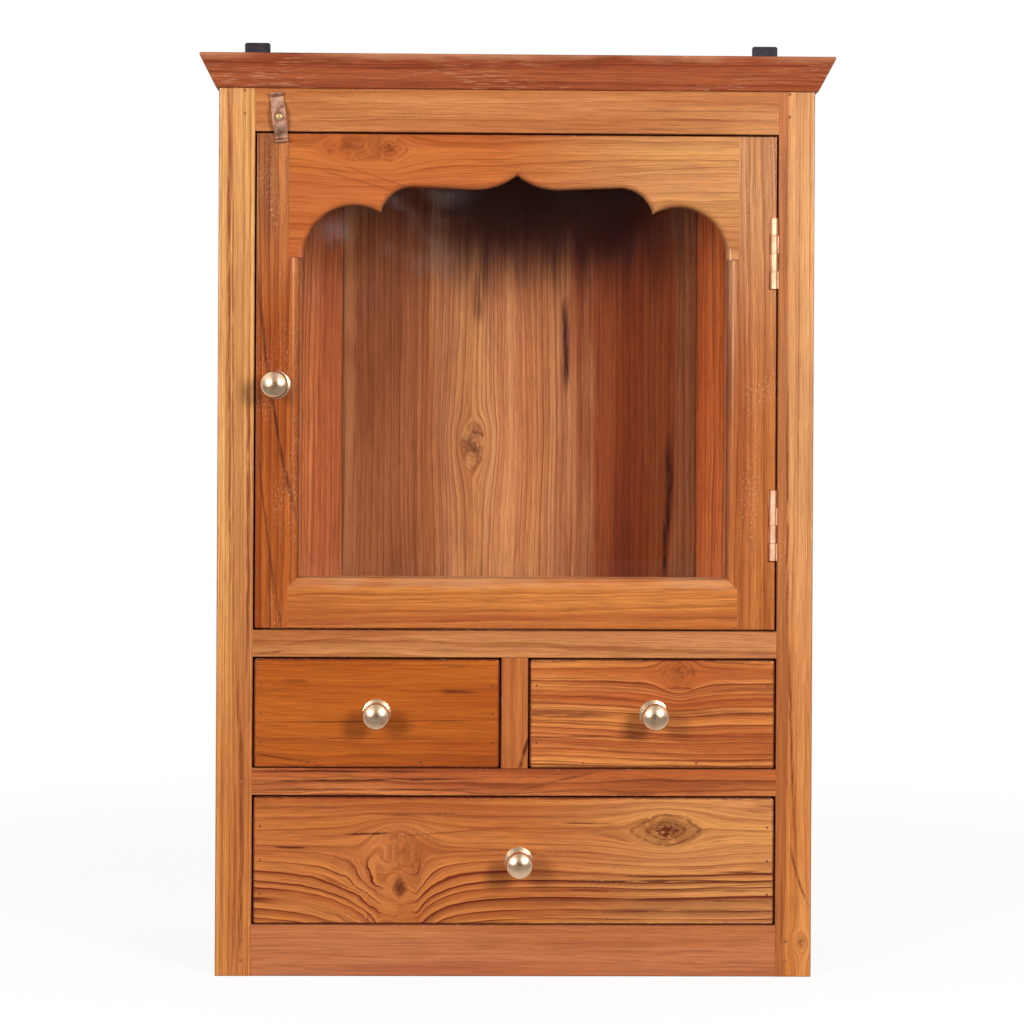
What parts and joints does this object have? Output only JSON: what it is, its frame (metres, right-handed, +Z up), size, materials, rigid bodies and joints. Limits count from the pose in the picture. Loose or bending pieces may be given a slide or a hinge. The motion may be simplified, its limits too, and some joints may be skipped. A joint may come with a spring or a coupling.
{
  "type": "glass wall cabinet",
  "caption": "Teak wall cabinet with a glazed door under a cusped arch, brass hinges and turn catch, and knobbed drawers below, hung by iron straps.",
  "frame": {"origin": "base plane, midway across the cabinet and midway between the knob fronts and the back", "axes": "+X to the right as seen from the front, +Y from the front to the wall, +Z up"},
  "size_m": [0.454, 0.228, 0.695],
  "materials": {
    "teak_face_frame": "satin lacquer over golden teak",
    "teak_cornice": "satin lacquer over dark teak, worn along the edges",
    "teak_carcass": "thin satin lacquer",
    "teak_door": "satin lacquer",
    "teak_drawer_fronts": "satin lacquer",
    "teak_drawer_boxes": "bare planed wood",
    "pin_wood": "flush pins",
    "door_glass": "clear float glass",
    "knob_brass": "polished",
    "hinge_brass": "satin",
    "catch_brass": "aged",
    "hanger_iron": "black paint on iron strap",
    "nail_steel": "dull wire nails"
  },
  "bodies": {
    "cabinet": {"bottom_board": "teak_carcass", "drawer_shelf": "teak_carcass", "display_floor": "teak_carcass", "drawer_partition": "teak_carcass", "left_hanger": "hanger_iron", "right_hanger": "hanger_iron", "hanger_screws": "hanger_iron", "left_side": "teak_carcass", "right_side": "teak_carcass", "top_board": "teak_carcass", "back_plank_left": "teak_carcass", "back_plank_centre": "teak_carcass", "back_plank_right": "teak_carcass", "drawer_guides": "teak_carcass", "door_stop": "teak_carcass", "frame_pins": "pin_wood", "frame_divider": "teak_face_frame", "frame_bottom_rail": "teak_face_frame", "frame_lower_rail": "teak_face_frame", "frame_upper_rail": "teak_face_frame", "frame_top_rail": "teak_face_frame", "upper_hinge_frame_leaf": "hinge_brass", "lower_hinge_frame_leaf": "hinge_brass", "hinge_pins": "hinge_brass", "frame_hinge_screws": "hinge_brass", "frame_left_stile": "teak_face_frame", "frame_right_stile": "teak_face_frame", "cornice_front": "teak_cornice", "cornice_left": "teak_cornice", "cornice_right": "teak_cornice", "catch_screw": "catch_brass"},
    "door": {"door_left_stile": "teak_door", "door_right_stile": "teak_door", "door_top_rail": "teak_door", "door_bottom_rail": "teak_door", "glass_pane": "door_glass", "glazing_beads": "teak_door", "door_knob": "knob_brass", "upper_hinge_door_leaf": "hinge_brass", "lower_hinge_door_leaf": "hinge_brass", "door_hinge_screws": "hinge_brass"},
    "catch": {"turn_catch": "catch_brass"},
    "left_drawer": {"left_drawer_front": "teak_drawer_fronts", "left_drawer_sides": "teak_drawer_boxes", "left_drawer_back": "teak_drawer_boxes", "left_drawer_bottom": "teak_drawer_boxes", "left_drawer_nails": "nail_steel", "left_drawer_knob": "knob_brass"},
    "right_drawer": {"right_drawer_front": "teak_drawer_fronts", "right_drawer_sides": "teak_drawer_boxes", "right_drawer_back": "teak_drawer_boxes", "right_drawer_bottom": "teak_drawer_boxes", "right_drawer_nails": "nail_steel", "right_drawer_knob": "knob_brass"},
    "large_drawer": {"large_drawer_front": "teak_drawer_fronts", "large_drawer_sides": "teak_drawer_boxes", "large_drawer_back": "teak_drawer_boxes", "large_drawer_bottom": "teak_drawer_boxes", "large_drawer_nails": "nail_steel", "large_drawer_knob": "knob_brass"}
  },
  "joints": [
    {"name": "door_hinge", "type": "hinge", "parent": "cabinet", "child": "door", "pos_m": [0.18465, -0.08704, 0.4265], "axis": [0, 0, 1], "range_deg": [0, 170]},
    {"name": "catch_turn", "type": "hinge", "parent": "cabinet", "child": "catch", "pos_m": [-0.1707, -0.08604, 0.615], "axis": [0, -1, 0], "continuous": true},
    {"name": "left_drawer_slide", "type": "slide", "parent": "cabinet", "child": "left_drawer", "axis": [0, -1, 0], "range_m": [0, 0.13]},
    {"name": "right_drawer_slide", "type": "slide", "parent": "cabinet", "child": "right_drawer", "axis": [0, -1, 0], "range_m": [0, 0.13]},
    {"name": "large_drawer_slide", "type": "slide", "parent": "cabinet", "child": "large_drawer", "axis": [0, -1, 0], "range_m": [0, 0.13]}
  ]
}
